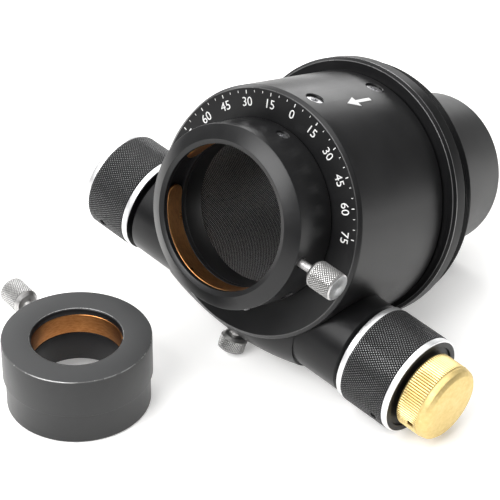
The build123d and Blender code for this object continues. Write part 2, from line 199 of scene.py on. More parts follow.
# the same plating twice: darker on the knurl flanks as painted shade, brighter on the tops as painted glints
PLATED_FLANK_SHADE = turned("plated_knurl_flank_painted_shade", (0.26, 0.258, 0.255), (0.42, 0.415, 0.41), (0.44, 0.54), (900, 900, 900), 0.000003)
PLATED_TIP_GLINT = turned("plated_knurl_tip_painted_glint", (0.78, 0.77, 0.76), (0.94, 0.93, 0.92), (0.36, 0.46), (900, 900, 900), 0.000003)
PLATED_END = turned("plated_end_face", (0.40, 0.41, 0.42), (0.58, 0.59, 0.60), (0.34, 0.44), (900, 900, 900), 0.000003)
GOLD = turned("gold_rib", (0.72, 0.56, 0.24), (0.88, 0.72, 0.37), (0.36, 0.46), (60, 60, 9000), 0.000003)
# painted shade: the gold made dark brown where the ribs' grooves and the set-screw hole lie in shade
GOLD_SHADE = turned("gold_painted_shade", (0.26, 0.16, 0.045), (0.40, 0.26, 0.085), (0.44, 0.54), (900, 900, 900), 0.000003)
GOLD_END = turned("gold_end", (0.68, 0.52, 0.21), (0.80, 0.64, 0.31), (0.50, 0.60), (700, 700, 700), 0.000005)
BRASS = turned("copper_brass", (0.50, 0.22, 0.08), (0.76, 0.38, 0.14), (0.26, 0.42), (500, 500, 2500), 0.000004)
COPPER = turned("copper_band", (0.34, 0.13, 0.04), (0.56, 0.25, 0.085), (0.28, 0.44), (500, 500, 2500), 0.000004)
USE_OBJECT[0] = True
CAD_BLACK = anodised("satin_black_cast", (0.005, 0.005, 0.0055), (0.010, 0.010, 0.0105), (0.28, 0.36), spec=0.24)
STEEL = turned("ground_steel", (0.52, 0.52, 0.53), (0.72, 0.72, 0.73), (0.20, 0.32), (2500, 2500, 2500), 0.000002)
SCREW = turned("zinc_screw", (0.45, 0.45, 0.46), (0.70, 0.70, 0.71), (0.26, 0.38), (1500, 1500, 1500), 0.000004)
BRONZE = turned("sintered_bronze", (0.42, 0.26, 0.10), (0.62, 0.42, 0.20), (0.40, 0.52), (3000, 3000, 3000), 0.000006)
CAD_INNER = anodised("inner_black", (0.005, 0.005, 0.0055), (0.010, 0.010, 0.0105), (0.38, 0.46), spec=0.3)
USE_OBJECT[0] = False
SCREW_M = turned("zinc_screw_thread", (0.45, 0.45, 0.46), (0.70, 0.70, 0.71), (0.26, 0.38), (1500, 1500, 1500), 0.000004)
PRINT = anodised("white_print", (0.62, 0.62, 0.62), (0.84, 0.84, 0.83), (0.55, 0.7), grain=0.000004, blotch=500.0)


# ------------------------------------------------------------------ mesh helpers
local_of = {}


def keep_local(ob):
    """Writes each vertex's place in the piece's own frame to the mesh, for the materials."""
    inv = np.array(local_of.get(ob.name, Matrix.Identity(4)).inverted())
    me = ob.data
    co = np.zeros(len(me.vertices) * 3, np.float32)
    me.vertices.foreach_get("co", co)
    co = co.reshape(-1, 3) @ inv[:3, :3].T + inv[:3, 3]
    at = me.attributes.get("local") or me.attributes.new("local", "FLOAT_VECTOR", "POINT")
    at.data.foreach_set("vector", co.astype(np.float32).ravel())


def finish_mesh(me, angle=32.0):
    me.polygons.foreach_set("use_smooth", [True] * len(me.polygons))
    me.set_sharp_from_angle(angle=math.radians(angle))
    me.update()


def make(name, verts, faces, mats, idx=None, matrix=None, angle=32.0, smooth=True):
    me = bpy.data.meshes.new(name)
    me.from_pydata([tuple(c * MM for c in v) for v in verts], [], faces)
    for m in mats:
        me.materials.append(m)
    if idx is not None:
        me.polygons.foreach_set("material_index", idx)
    bm = bmesh.new(); bm.from_mesh(me)
    bmesh.ops.recalc_face_normals(bm, faces=bm.faces)
    bm.to_mesh(me); bm.free()
    if smooth:
        finish_mesh(me, angle)
    ob = bpy.data.objects.new(name, me)
    bpy.context.scene.collection.objects.link(ob)
    if matrix is not None:
        me.transform(matrix)
        if matrix.determinant() < 0:
            me.flip_normals()
        local_of[ob.name] = matrix
    return ob


def soften(points, closed=True, steps=3):
    """Profile corners (z, r, radius, material) to a polyline with rounded corners: (z, r, material of the next run)."""
    out = []
    n = len(points)
    for i, p in enumerate(points):
        z, r, rad, mat = p
        if rad <= 0 or (not closed and i in (0, n - 1)):
            out.append((z, r, mat)); continue
        a, c = points[i - 1], points[(i + 1) % n]
        pv, av, cv = Vector((z, r)), Vector(a[:2]), Vector(c[:2])
        u, w = (av - pv), (cv - pv)
        lu, lw = u.length, w.length
        if lu < 1e-6 or lw < 1e-6:
            out.append((z, r, mat)); continue
        u /= lu; w /= lw
        half = math.acos(max(-1, min(1, u.dot(w)))) / 2
        if half > math.radians(88):
            out.append((z, r, mat)); continue
        t = min(rad / math.tan(half), lu * 0.48, lw * 0.48)
        rr = t * math.tan(half)
        centre = pv + (u + w).normalized() * (rr / math.sin(half))
        s0, s1 = pv + u * t - centre, pv + w * t - centre
        ang = s0.angle_signed(s1) if s0.length > 0 and s1.length > 0 else 0
        for k in range(steps + 1):
            q = s0.copy(); q.rotate(Matrix.Rotation(-ang * k / steps, 2)); q += centre
            out.append((q.x, q.y, a[3] if k < steps / 2 else mat))
    return out


def lathe(name, profile, mats, matrix, segs=192, closed=True, radius=None, angle=32.0, steps=3):
    """Turned piece: profile corners (z, r, rounding, material index of the run that follows) about local z."""
    pts = soften(profile, closed, steps)
    verts, faces, idx = [], [], []
    rings = []
    for z, r, _ in pts:
        if r < 1e-6:
            rings.append([len(verts)]); verts.append((0, 0, z)); continue
        ring = []
        for s in range(segs):
            t = 2 * math.pi * s / segs
            rr, zz = radius(t, r, z) if radius else (r, z)
            ring.append(len(verts)); verts.append((rr * math.cos(t), rr * math.sin(t), zz))
        rings.append(ring)
    n = len(rings)
    for i in range(n if closed else n - 1):
        a, b = rings[i], rings[(i + 1) % n]
        if len(a) == 1 and len(b) == 1:
            continue
        for s in range(segs):
            s2 = (s + 1) % segs
            if len(a) == 1:
                faces.append((a[0], b[s], b[s2]))
            elif len(b) == 1:
                faces.append((a[s], a[s2], b[0]))
            else:
                faces.append((a[s], a[s2], b[s2], b[s]))
            idx.append(pts[i][2])
    return make(name, verts, faces, mats, idx, matrix, angle)


def apply_mods(ob):
    dg = bpy.context.evaluated_depsgraph_get()
    me = bpy.data.meshes.new_from_object(ob.evaluated_get(dg))
    old = ob.data
    ob.modifiers.clear()
    ob.data = me
    bpy.data.meshes.remove(old)


def cut(ob, cutters, angle=32.0):
    """Removes each cutter's volume; new faces take the cutter's material."""
    for c in cutters:
        for m in c.data.materials:
            if m.name not in [x.name for x in ob.data.materials]:
                ob.data.materials.append(m)
        mod = ob.modifiers.new("cut", "BOOLEAN")
        mod.operation = "DIFFERENCE"; mod.solver = "EXACT"; mod.object = c
        mod.material_mode = "TRANSFER"
    bpy.context.view_layer.update()
    apply_mods(ob)
    for c in cutters:
        me = c.data
        bpy.data.objects.remove(c); bpy.data.meshes.remove(me)
    finish_mesh(ob.data, angle)


def rod(name, origin, direction, r, z0, z1, mat, base, segs=48, chamfer=0.0, r2=None):
    """Closed cylinder along a direction in mm coordinates of the base frame, with an optional flare at its outer end."""
    d = Vector(direction).normalized()
    q = d.to_track_quat("Z", "Y").to_matrix().to_4x4()
    m = base @ Matrix.Translation(Vector(origin) * MM) @ q
    prof = [(z0, 0, 0, 0), (z0, r, 0, 0)]
    if r2:
        prof += [(z1 - (r2 - r), r, 0, 0), (z1, r2, 0, 0), (z1 + 3, r2 + 3, 0, 0), (z1 + 3, 0, 0, 0)]
    else:
        prof += [(z1, r, 0, 0), (z1, 0, 0, 0)]
    return lathe(name, prof, [mat], m, segs, closed=False)


def knurl_rows(r, z0, z1, n, rows, depth, top=0.42, fade=0.5):
    """Rows of a diamond knurl on a cylinder. Each diamond is a flat-topped pyramid.
    Returns verts, faces, index (0 flank, 1 top), and the first and last rings of vertices."""
    verts, faces, idx = [], [], []
    cols = 2 * n
    lat = {}
    base = r - depth
    for j in range(rows + 1):
        z = z0 + (z1 - z0) * j / rows
        for i in range(cols):
            edge = j in (0, rows)
            if (i + j) % 2 == 1 or edge:
                t = 2 * math.pi * i / cols
                rr = base + (depth * 0.5 if edge and (i + j) % 2 == 0 else 0.0)
                lat[(i, j)] = len(verts)
                verts.append((rr * math.cos(t), rr * math.sin(t), z))
    dz, dt = (z1 - z0) / rows, 2 * math.pi / cols
    for j in range(1, rows):
        z = z0 + (z1 - z0) * j / rows
        for i in range(cols):
            if (i + j) % 2 == 1:
                continue
            t = 2 * math.pi * i / cols
            corner = [lat[((i + 1) % cols, j)], lat[(i, j + 1)], lat[((i - 1) % cols, j)], lat[(i, j - 1)]]
            tops = []
            for ddt, ddz in ((1, 0), (0, 1), (-1, 0), (0, -1)):
                tt, zz = t + ddt * dt * top, z + ddz * dz * top
                tops.append(len(verts)); verts.append((r * math.cos(tt), r * math.sin(tt), zz))
            faces.append(tuple(tops)); idx.append(1)
            for k in range(4):
                k2 = (k + 1) % 4
                faces.append((corner[k], corner[k2], tops[k2], tops[k])); idx.append(0)
    # half diamonds along the two edges
    for j, step in ((0, 1), (rows, -1)):
        for i in range(cols):
            if (i + j) % 2 == 0:
                faces.append((lat[(i, j)], lat[((i + 1) % cols, j)], lat[(i, j + step)])); idx.append(0)
                faces.append((lat[(i, j)], lat[(i, j + step)], lat[((i - 1) % cols, j)])); idx.append(0)
    first = [lat[(i, 0)] for i in range(cols)]
    last = [lat[(i, rows)] for i in range(cols)]
    return verts, faces, idx, first, last


def turned_with_knurl(name, before, after, knurl, mats, matrix, closed=True, angle=25.0):
    """A closed turned solid whose surface between two profiles is knurled.
    before/after: profiles (z, r, rounding, material) leading up to and away from the knurl."""
    verts, faces, idx, first, last = knurl
    verts, faces, idx = list(verts), list(faces), [k for k in idx]
    cols = len(first)

    def strip(profile, start_ring, start_mat):
        prev = start_ring
        pmat = start_mat
        for z, r, mat in profile:
            if r < 1e-6:
                c = len(verts); verts.append((0, 0, z))
                for s in range(cols):
                    faces.append((prev[s], prev[(s + 1) % cols], c)); idx.append(pmat)
                return None
            ring = []
            for s in range(cols):
                t = 2 * math.pi * s / cols
                ring.append(len(verts)); verts.append((r * math.cos(t), r * math.sin(t), z))
            for s in range(cols):
                s2 = (s + 1) % cols
                faces.append((prev[s], prev[s2], ring[s2], ring[s])); idx.append(pmat)
            prev, pmat = ring, mat
        return prev, pmat

    a = strip(before[1], first, before[0])
    b = strip(after[1], last, after[0])
    if closed and a is not None and b is not None:
        ra, rb = a[0], b[0]
        for s in range(cols):
            s2 = (s + 1) % cols
            faces.append((ra[s], ra[s2], rb[s2], rb[s])); idx.append(a[1])
    return make(name, verts, faces, mats, idx, matrix, angle)


def helix(name, r, depth, pitch, z0, z1, segs, per, mats, matrix, inner, ends=0.6, inside=False, hollow_r=None):
    """Threaded length: a true single-start V thread whose crest is at r, faded out at both ends; the argument inner is
    not used.
    """
    rows = max(6, int((z1 - z0) / pitch * per))
    verts, faces, idx = [], [], []
    for j in range(rows + 1):
        z = z0 + (z1 - z0) * j / rows
        fade = min(1.0, (z - z0) / ends, (z1 - z) / ends)
        for s in range(segs):
            t = 2 * math.pi * s / segs
            ph = ((z - pitch * s / segs) / pitch) % 1.0
            tri = abs(2 * ph - 1)                       # 1 at the root, 0 at the crest
            cut_ = depth * (0.15 + 0.85 * tri) * max(0.0, fade) + depth * (1 - max(0.0, fade)) * 0.9
            rr = r - cut_
            verts.append((rr * math.cos(t), rr * math.sin(t), z))
    for j in range(rows):
        for s in range(segs):
            s2 = (s + 1) % segs
            faces.append((j * segs + s, j * segs + s2, (j + 1) * segs + s2, (j + 1) * segs + s)); idx.append(2 if s % per in (3, 4) else 0)
    return verts, faces, idx, [s for s in range(segs)], [rows * segs + s for s in range(segs)]


def ring_solid(name, surf, pre, post, mats, matrix, angle=40.0):
    return turned_with_knurl(name, pre, post, surf, mats, matrix, True, angle)


shown = []


def piece(ob, body, slot, *nodes):
    keep_local(ob)
    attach(ob, body)
    if nodes:
        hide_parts(*nodes)
    shown.append(ob)
    return ob


LY = OPT @ AXIS_Y                  # lathe frame along the optical axis
LX = SHAFT @ AXIS_X                # lathe frame along the shaft


def radial(deg):
    t = math.radians(deg)
    return Vector((math.sin(t), 0, math.cos(t)))


# ------------------------------------------------------------------ eyepiece holder
holder = lathe("holder_body", [
    (0.0, 25.45, 0.10, 0), (-0.6, 27.2, 0.22, 0), (2.2, 32.2, 0.40, 0), (19.4, 32.2, 0.45, 0), (19.4, 28.95, 0, 0), (11.8, 28.95, 0, 1),
    (11.8, 25.45, 0.15, 1), (9.7, 25.45, 0.15, 1), (9.7, 26.9, 0, 1), (1.9, 26.9, 0, 1), (1.9, 25.45, 0.15, 1)],
    [BLACK, BLACK_BORE, BLACK_FACE], LY, 256)
cuts = [rod("c", (0, 5.8, 0), (1, 0, 0), 1.58, 24.0, 32.0, BLACK_BORE, OPT, 40, r2=1.95)]
for deg in (4.8, 124.8, 244.8):
    cuts.append(rod("c", (0, 14.6, 0), radial(deg), 2.12, 28.0, 32.05, BLACK_BORE, OPT, 40, r2=2.35))
cuts.append(rod("c", (0, 7.6, 0), radial(148.0), 1.02, 26.0, 36.0, BLACK_BORE, OPT, 32))
cut(holder, cuts)
piece(holder, "drawtube_assembly", "black_anodised", "eyepiece_holder")


def band(name, r0, r1, z0, z1, deg0, deg1, mats, matrix, n=220):
    """Split band with round ends: an arc strip between two angles (degrees, local x towards local y)."""
    verts, faces = [], []
    mid, hw = (z0 + z1) / 2, (z1 - z0) / 2
    rm = (r0 + r1) / 2
    length = math.radians(deg1 - deg0) * rm
    rings = []
    for k in range(n + 1):
        f = k / n
        if f < 0.06:
            s = hw * (1 - math.cos(f / 0.06 * math.pi / 2))
        elif f > 0.94:
            s = length - hw * (1 - math.cos((1 - f) / 0.06 * math.pi / 2))
        else:
            s = hw + (length - 2 * hw) * (f - 0.06) / 0.88
        e = min(s, length - s)
        w = hw if e >= hw else math.sqrt(max(0.0, hw * hw - (hw - e) ** 2))
        w = max(w, 0.05)
        t = math.radians(deg0) + s / rm
        b = min(0.18, w * 0.5)
        prof = [(r0, mid - w + b), (r0 + b, mid - w), (r1 - b, mid - w), (r1, mid - w + b), (r1, mid + w - b), (r1 - b, mid + w), (r0 + b, mid + w), (r0, mid + w - b)]
        ring = []
        for r, z in prof:
            ring.append(len(verts)); verts.append((r * math.cos(t), r * math.sin(t), z))
        rings.append(ring)
    for a, c in zip(rings, rings[1:]):
        for k in range(8):
            k2 = (k + 1) % 8
            faces.append((a[k], a[k2], c[k2], c[k]))
    faces.append(tuple(rings[0])); faces.append(tuple(reversed(rings[-1])))
    return make(name, verts, faces, mats, None, matrix, 30)


# optical angle d (from up towards +x) is local angle: x = sin d, z = cos d; in the lathe frame local y is -z
gap0, gap1 = -95.0, -68.0
loc = lambda d: math.degrees(math.atan2(-math.cos(math.radians(d)), math.sin(math.radians(d))))
a0 = loc(gap1); a1 = loc(gap0 + 360)
while a1 < a0 + 180:
    a1 += 360
hb = band("holder_band_strip", 25.5, 26.5, 2.0, 9.6, a0, a1, [BRASS], LY)
piece(hb, "drawtube_assembly", "brass", "holder_brass_band")


# ------------------------------------------------------------------ thumbscrews
def thumb(name, matrix, tip, neck, head, neck_r, head_r, thread_to, cone, n=40, rows=14):
    """Knurled thumbscrew about local z: thread, plain neck, small cone, diamond knurl, chamfer and turned end."""
    k = knurl_rows(head_r, neck + cone + 0.25, head - 0.55, n, rows, 0.30, 0.40)
    before = (0, soften([(neck + cone, head_r - 0.12, 0.06, 2), (neck + 0.1, head_r - 1.25, 0.15, 2), (neck, head_r - 1.6, 0, 2), (neck, neck_r + 0.45, 0.1, 2),
                         (neck - 0.35, neck_r, 0.1, 2), (tip + 0.4, neck_r, 0, 2), (tip, neck_r - 0.35, 0, 2), (tip, 0, 0, 2)], closed=False))
    after = (0, soften([(head - 0.40, head_r - 0.08, 0.05, 2), (head - 0.1, head_r - 0.42, 0.08, 3), (head, head_r - 0.60, 0.0, 3), (head, 1.4, 0.0, 3), (head - 0.12, 1.1, 0, 3), (head - 0.12, 0, 0, 3)], closed=False))
    # knurl flanks carry painted shade and knurl tops a painted glint
    ob = turned_with_knurl(name, before, after, k, [PLATED_FLANK_SHADE, PLATED_TIP_GLINT, PLATED, PLATED_END], matrix, False, 25)
    v, f, i, first, last = helix(name + "_thread", neck_r + 0.0, 0.16, 0.5, tip + 0.5, thread_to, 40, 8, None, None, 0)
    th = turned_with_knurl(name + "_thread", (0, [(tip + 0.5, neck_r - 0.4, 0), (tip + 0.5, 0, 0)]), (0, [(thread_to, neck_r - 0.4, 0), (thread_to, 0, 0)]), (v, f, i, first, last), [SCREW_M], matrix, False, 40)
    return ob, th


def along_matrix(base, origin, direction):
    q = Vector(direction).normalized().to_track_quat("Z", "Y").to_matrix().to_4x4()
    return base @ Matrix.Translation(Vector(origin) * MM) @ q


def screw(name, base, origin, direction, tip, neck, head, neck_r, head_r, thread_to, cone, body, node, n=40, rows=14):
    ob, th = thumb(name, along_matrix(base, origin, direction), tip, neck, head, neck_r, head_r, thread_to, cone, n, rows)
    me = ob.data
    piece(ob, body, "plated_thumbscrew", node)
    piece(th, body, "plated_thumbscrew")
    return ob


screw("holder_thumbscrew_head", OPT, (0, 5.8, 0), (1, 0, 0), 26.6, 37.8, 48.8, 1.5, 5.0, 33.4, 1.3, "holder_screw", "holder_thumbscrew", 32, 17)
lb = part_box("lock_thumbscrew")
lock_end = 60.4
for v in frame["nodes"]["lock_thumbscrew"].data.vertices:
    p = OPT.inverted() @ v.co
    lock_end = max(lock_end, -p.z / MM)
screw("lock_thumbscrew_head", OPT, (0, 35.0, 0), (0, 0, -1), 40.7, 54.9, lock_end, 2.0, 5.0, 52.0, 1.1, "lock_screw", "lock_thumbscrew", 32, 9)

# ------------------------------------------------------------------ drawtube
tube = lathe("drawtube_skin", [
    (12.0, 25.45, 0, 0), (12.0, 28.9, 0, 0), (131.1, 28.9, 0.5, 1), (131.1, 26.45, 0.35, 1), (129.6, 26.45, 0, 1), (129.6, 26.75, 0, 1), (20.9, 26.75, 0, 1), (20.9, 26.4, 0, 1), (20.3, 26.4, 0.1, 1), (20.3, 25.45, 0.1, 1)],
    [BLACK_TUBE, BLACK_BORE], LY, 256)
flat = rod("c", (0, 0, 0), (0, 0, 1), 1, 0, 1, BLACK, OPT)
bmf = bmesh.new(); bmesh.ops.create_cube(bmf, size=1.0)
bmesh.ops.scale(bmf, vec=(0.024, 0.084, 0.0126), verts=bmf.verts)
bmf.to_mesh(flat.data); bmf.free()
flat.data.materials.clear(); flat.data.materials.append(BLACK_FACE)
flat.data.transform(OPT @ Matrix.Translation((0, 0.070, -0.0274 - 0.0063)))
cut(tube, [flat, rod("c", (0, 123.9, 0), radial(205.0), 1.27, 20, 36, BLACK_BORE, OPT, 32)])
piece(tube, "drawtube_assembly", "black_anodised", "drawtube")

# the fine diamond texture that kills glare inside the tube: real relief, standing on the bore
cells, rows_ = 184, 232
k = knurl_rows(1.0, 0.0, 1.0, cells, rows_, 0.0, 0.46)
tv, tf, ti = [], [], k[2]
zz0, zz1 = 20.95, 129.55
for x, y, z in k[0]:
    tv.append([x, y, z])
arr = np.array(tv)
rr = np.hypot(arr[:, 0], arr[:, 1])
top_ids = set()
for f, i in zip(k[1], ti):
    if i == 1:
        top_ids.update(f)
mask = np.zeros(len(arr), bool); mask[list(top_ids)] = True
newr = np.where(mask, 26.46, 26.66)
arr[:, 0] *= newr / rr; arr[:, 1] *= newr / rr
arr[:, 2] = zz0 + arr[:, 2] * (zz1 - zz0)
n0 = len(arr)
outer = arr.copy()
first, last = k[3], k[4]
verts = [tuple(v) for v in arr]
faces = list(k[1]); idx = list(ti)
ro = []
for ring, z in ((first, zz0), (last, zz1)):
    o = []
    for s in range(2 * cells):
        t = 2 * math.pi * s / (2 * cells)
        o.append(len(verts)); verts.append((26.72 * math.cos(t), 26.72 * math.sin(t), z))
    ro.append(o)
m2 = 2 * cells
for s in range(m2):
    s2 = (s + 1) % m2
    faces.append((first[s], first[s2], ro[0][s2], ro[0][s])); idx.append(0)
    faces.append((last[s], last[s2], ro[1][s2], ro[1][s])); idx.append(0)
    faces.append((ro[0][s], ro[0][s2], ro[1][s2], ro[1][s])); idx.append(0)
# the tops of the texture (material 1) carry a painted glint
tex = make("drawtube_bore_texture", verts, faces, [BLACK_BORE, TEXTURE_TIP_GLINT], idx, LY, 12)
piece(tex, "drawtube_assembly", "black_anodised")


# ------------------------------------------------------------------ drum
def drum_radius(t, r, z):
    """Outer points follow the round drum above and its slightly fuller keel below; local y is down."""
    if r < 41.9:
        return r, z
    c = math.sin(t)
    kr = r + (0.5 if r < 42.8 else 0.8)
    keel = 2 * c + math.sqrt(max(0.0, 4 * c * c + kr * kr - 4))
    return max(r, keel), z


# material 2, the run at the front rim, is a painted highlight line; material 3, the rear chamfer, is a bare edge line
# lightened to serve as a painted highlight
drum = lathe("drum_body", [
    (19.9, 29.7, 0.2, 1), (19.9, 42.2, 0.35, 2), (20.15, 42.5, 0.0, 0), (21.2, 43.25, 0.7, 0), (21.6, 43.4, 0.3, 0), (69.9, 43.4, 0.0, 3), (70.4, 43.0, 0.0, 0), (70.4, 37.5, 0, 0), (24.4, 37.5, 0, 0), (24.4, 29.7, 0, 0)],
    [BLACK, BLACK_FACE, PAINTED_RIM_HIGHLIGHT, BARE_EDGE_HIGHLIGHT], LY, 320, radius=drum_radius)
cuts = []
for y in (28.7, 64.0):
    cuts.append(rod("c", (1.1, y, 0), (0, 0, 1), 1.78, 30, 52, BLACK_BORE, OPT, 40))
    cuts.append(rod("c", (1.1, y, 0), (0, 0, 1), 3.1, 41.0, 43.25, BLACK_BORE, OPT, 56, r2=3.3))
cuts.append(rod("c", (0, 35.0, 0), (0, 0, -1), 2.1, 36, 56, BLACK_BORE, OPT, 32))
cuts.append(rod("c", (0, 44.0, 0), (0, 0, -1), 2.05, 36, 56, BLACK_BORE, OPT, 32))
box_ = rod("c", (0, 0, 0), (0, 0, 1), 1, 0, 1, BLACK, OPT)
bmf = bmesh.new(); bmesh.ops.create_cube(bmf, size=1.0)
bmesh.ops.scale(bmf, vec=(0.0368, 0.021, 0.016), verts=bmf.verts)
bmf.to_mesh(box_.data); bmf.free()
box_.data.materials.clear(); box_.data.materials.append(BLACK)
box_.data.transform(OPT @ Matrix.Translation((0, 0.0395, -0.033)))
cuts.append(box_)
cuts.append(rod("c", (-60, SY, SZ), (1, 0, 0), 6.5, 0, 120, BLACK, OPT, 48))
cut(drum, cuts)
piece(drum, "housing", "black_anodised", "drum_housing")

# ------------------------------------------------------------------ rear flange with its real thread
v, f, i, first, last = helix("t", 46.2, 0.42, 1.0, 79.5, 84.9, 256, 8, None, None, 0, ends=0.9)
# the flange's chamfers (material 1) take the lighter edge colour: partly bare edge, partly painted highlight
flange = ring_solid("flange_body", (v, f, [0] * len(f), first, last),
    (0, soften([(79.4, 45.3, 0.0, 0), (78.0, 45.2, 0.0, 0), (78.0, 47.55, 0.15, 1), (77.75, 47.78, 0.0, 0), (77.45, 48.0, 0.2, 0), (72.65, 48.0, 0.0, 1), (72.35, 48.0, 0.1, 0), (71.4, 47.1, 0.1, 1), (71.4, 46.75, 0.0, 0), (71.4, 42.6, 0, 0), (70.45, 42.6, 0, 0), (70.45, 37.45, 0, 0), (68.8, 37.45, 0, 0), (68.8, 34.0, 0, 0), (72.0, 34.0, 0, 0)], False)),
    (0, soften([(85.2, 45.5, 0.0, 0), (85.2, 42.8, 0.25, 0), (76.4, 42.8, 0, 0), (76.4, 30.0, 0.3, 0), (72.0, 30.0, 0, 0)], False)),
    [BLACK_RING, CHAMFER_EDGE_HIGHLIGHT], LY, 30)
cuts = []
for a in (45, 135, 225, 315):
    x, z = 40.2 * math.sin(math.radians(a)), 40.2 * math.cos(math.radians(a))
    cuts.append(rod("c", (x, 60, z), (0, 1, 0), 1.42, 0, 22, BLACK_BORE, OPT, 32))
cut(flange, cuts, 30)
piece(flange, "housing", "black_anodised", "rear_flange")


# ------------------------------------------------------------------ coarse knobs
def coarse(name, x0, x1, inner, node, slotname, matrix):
    """Coarse knob from its inner end x0 to its outer end x1, knurled between two bare rims."""
    s = 1 if x1 > x0 else -1
    ka, kb = x0 + s * 2.25, x1 - s * 2.15
    k = knurl_rows(18.5, min(ka, kb), max(ka, kb), 118, 26, 0.30, 0.44)
    if s > 0:
        first_side, last_side = "in", "out"
    else:
        first_side, last_side = "out", "in"
    prof_in = (2, soften([(x0 + s * 2.1, 18.3, 0.05, 2), (x0 + s * 0.25, 18.2, 0.12, 2), (x0, 17.95, 0.1, 3)] + inner["in"], False))
    prof_out = (2, soften([(x1 - s * 2.0, 18.3, 0.05, 2), (x1 - s * 0.2, 18.2, 0.12, 2), (x1, 17.8, 0.12, 3), (x1, 15.8, 0.1, 3)] + inner["out"], False))
    before, after = (prof_in, prof_out) if s > 0 else (prof_out, prof_in)
    # knurl tops (material 1) are lighter: worn tips and painted glints
    return turned_with_knurl(name, before, after, k, [KNURL, KNURL_TIP_WEAR_GLINT, RIM, BLACK_FACE, BLACK_BORE], matrix, inner["ring"], 22)


KNOB_SET = Vector((0, -13.6, -12.5)).normalized()
FINE_SET = Vector((0, -11.6, -7.8)).normalized()
right = coarse("right_knob_body", 51.4, 74.3, {"in": [(51.4, 14.6, 0.2, 4)], "out": [(73.5, 15.6, 0, 3), (73.5, 4.0, 0.1, 4), (70.6, 4.0, 0, 4), (70.6, 14.6, 0, 4)], "ring": True}, "right_coarse_knob", "black_knurled", LX)
cut(right, [rod("c", (68.4, SY, SZ), KNOB_SET, 1.32, 13.5, 25, BLACK_BORE, OPT, 32)], 22)
piece(right, "coarse_drive", "black_knurled", "right_coarse_knob")
left = coarse("left_knob_body", -51.9, -73.9, {"in": [(-51.9, 3.02, 0.1, 4), (-68.0, 3.02, 0, 4), (-68.0, 0, 0, 4)], "out": [(-73.1, 15.6, 0, 3), (-73.1, 0, 0, 3)], "ring": False}, "left_coarse_knob", "black_knurled", LX)
cut(left, [rod("c", (-65.0, SY, SZ), KNOB_SET, 1.52, 3.4, 25, BLACK_BORE, OPT, 32)], 22)
piece(left, "coarse_drive", "black_knurled", "left_coarse_knob")


# ------------------------------------------------------------------ fine knob: ribs cut along it
def ribbed(name, x0, x1, r, n, depth, per=6, rows=8):
    verts, faces, idx = [], [], []
    segs = n * per
    for j in range(rows + 1):
        x = x0 + (x1 - x0) * j / rows
        fade = 1.0
        if j == 0 or j == rows:
            fade = 0.25
        for s in range(segs):
            ph = (s % per) / per
            shape = [1.0, 1.0, 0.78, 0.30, 0.0, 0.45][s % per] if per == 6 else 0.5 + 0.5 * math.cos(2 * math.pi * ph)
            cross = 0.10 * (1 if j % 2 else 0)
            rr = r - depth * (1 - shape) * fade - depth * cross * shape * 0.6
            t = 2 * math.pi * s / segs
            verts.append((rr * math.cos(t), rr * math.sin(t), x))
    for j in range(rows):
        for s in range(segs):
            s2 = (s + 1) % segs
            # groove floors take material 2, painted shade
            faces.append((j * segs + s, j * segs + s2, (j + 1) * segs + s2, (j + 1) * segs + s)); idx.append(2 if s % per in (3, 4) else 0)
    return verts, faces, idx, list(range(segs)), [rows * segs + s for s in range(segs)]


rib = ribbed("r", 75.7, 83.9, 14.1, 90, 0.36)
fine = turned_with_knurl("fine_knob_body",
    (0, soften([(75.45, 13.9, 0.1, 1), (75.0, 13.5, 0.1, 1), (75.0, 2.42, 0.0, 1), (86.0, 2.42, 0, 1), (86.0, 0, 0, 1)], False)),
    (1, soften([(84.15, 13.85, 0.05, 1), (84.8, 13.95, 0.2, 1), (86.4, 13.55, 0.9, 1), (87.5, 12.2, 0.9, 1), (87.95, 9.0, 1.0, 1), (88.0, 0, 0, 1)], False, 5)),
    rib, [GOLD, GOLD_END, GOLD_SHADE], LX, False, 24)
# the set-screw hole's walls take the dark gold, painted shade inside the hole
cut(fine, [rod("c", (81.5, SY, SZ), FINE_SET, 1.2, 2.6, 14.2, GOLD_SHADE, OPT, 40, r2=1.45)], 24)
piece(fine, "fine_drive", "gold_anodised", "fine_knob")

# ------------------------------------------------------------------ adapter
# the top outer and inner chamfers (material 3) take the lighter edge colour: partly worn edge, partly painted highlight
adapter = lathe("adapter_shell", [
    (4.8, 15.95, 0.2, 2), (4.8, 23.6, 0.0, 2), (0.0, 23.6, 0.12, 0), (0.0, 24.9, 0.0, 0), (0.5, 25.4, 0.15, 0), (12.0, 25.4, 0.08, 0), (12.0, 26.3, 0.25, 0), (26.62, 26.3, 0.05, 3), (26.9, 26.02, 0.05, 1), (26.9, 16.5, 0.05, 3), (26.75, 16.3, 0.05, 2),
    (26.5, 15.95, 0.1, 2), (24.3, 15.95, 0.1, 2), (24.3, 17.3, 0, 2), (16.4, 17.3, 0, 2), (16.4, 15.95, 0.1, 2)],
    [GREY, GREY_TOP, GREY_BORE, GREY_EDGE_WEAR_HIGHLIGHT], ADAPT, 256)
ja = joints["adapter_thumbscrew_turn"]
ad = Vector(ja["axis"]).normalized()
cuts = [rod("c", (0, 0, 20.35), ad, 1.58, 15.0, 26.0, GREY_BORE, ADAPT, 40, r2=1.9)]
cut(adapter, cuts)
piece(adapter, "adapter", "grey_anodised", "adapter_body")
ab = band("adapter_band_strip", 16.0, 17.0, 16.5, 24.2, 50.0, 383.0, [COPPER], ADAPT, 180)
piece(ab, "adapter", "brass", "adapter_brass_band")
screw("adapter_thumbscrew_head", ADAPT, (0, 0, 20.35), ad, 17.1, 33.4, 44.4, 1.5, 5.0, 28.6, 1.3, "adapter_screw", "adapter_thumbscrew", 32, 17)


